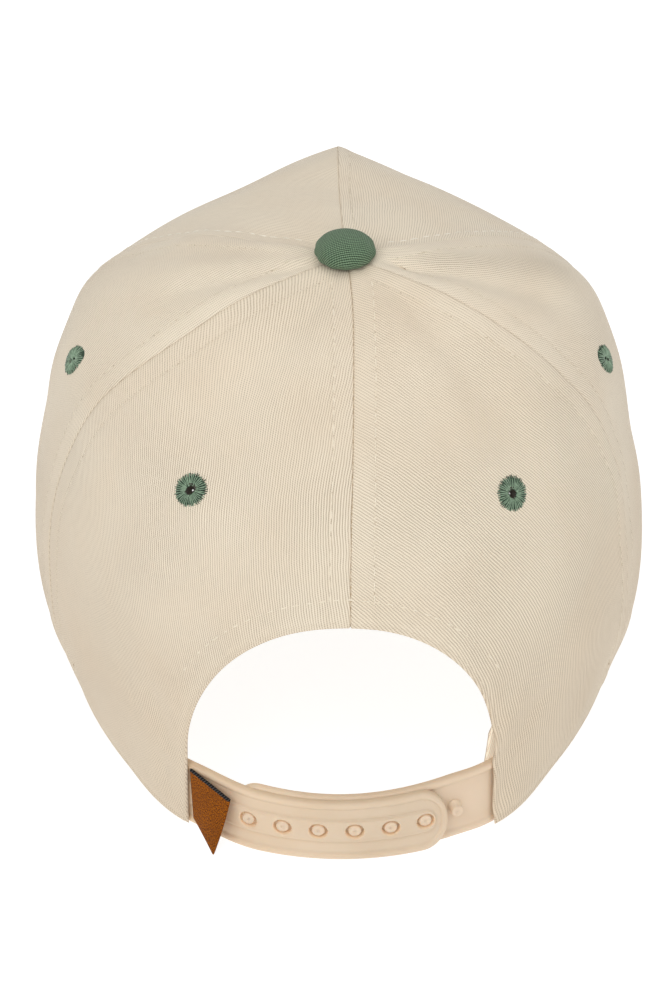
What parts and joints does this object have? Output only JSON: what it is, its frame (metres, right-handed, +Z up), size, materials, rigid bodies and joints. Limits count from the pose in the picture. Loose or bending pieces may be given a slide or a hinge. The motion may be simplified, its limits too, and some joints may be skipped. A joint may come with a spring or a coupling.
{
  "type": "trucker hat",
  "caption": "Cotton-twill snapback cap with a peaked front crown, curved brim, sewn eyelets, covered button and an arched rear opening over a plastic snap strap.",
  "frame": {"origin": "on the floor under the middle of the cap's footprint", "axes": "+Z up, -Y towards the brim, +X towards the wearer's left"},
  "size_m": [0.1686, 0.2678, 0.1347],
  "materials": {
    "crown_twill": "cream cotton twill",
    "green_twill": "muted green cotton twill",
    "green_thread": "satin-stitched green thread",
    "band_twill": "soft cream cotton band",
    "strap_plastic": "satin moulded, slightly translucent cream plastic",
    "tab_leather": "tan leather with a dark painted edge"
  },
  "bodies": {
    "root": {"front_panel_left": "crown_twill", "front_panel_right": "crown_twill", "side_panel_left": "crown_twill", "side_panel_right": "crown_twill", "back_panel_left": "crown_twill", "back_panel_right": "crown_twill", "button": "green_twill", "eyelet_side_left": "green_thread", "eyelet_side_right": "green_thread", "eyelet_back_left": "green_thread", "eyelet_back_right": "green_thread", "brim": "green_twill", "sweatband": "band_twill", "strap_holes": "strap_plastic", "strap_pegs": "strap_plastic", "label_tab": "tab_leather"}
  },
  "joints": []
}
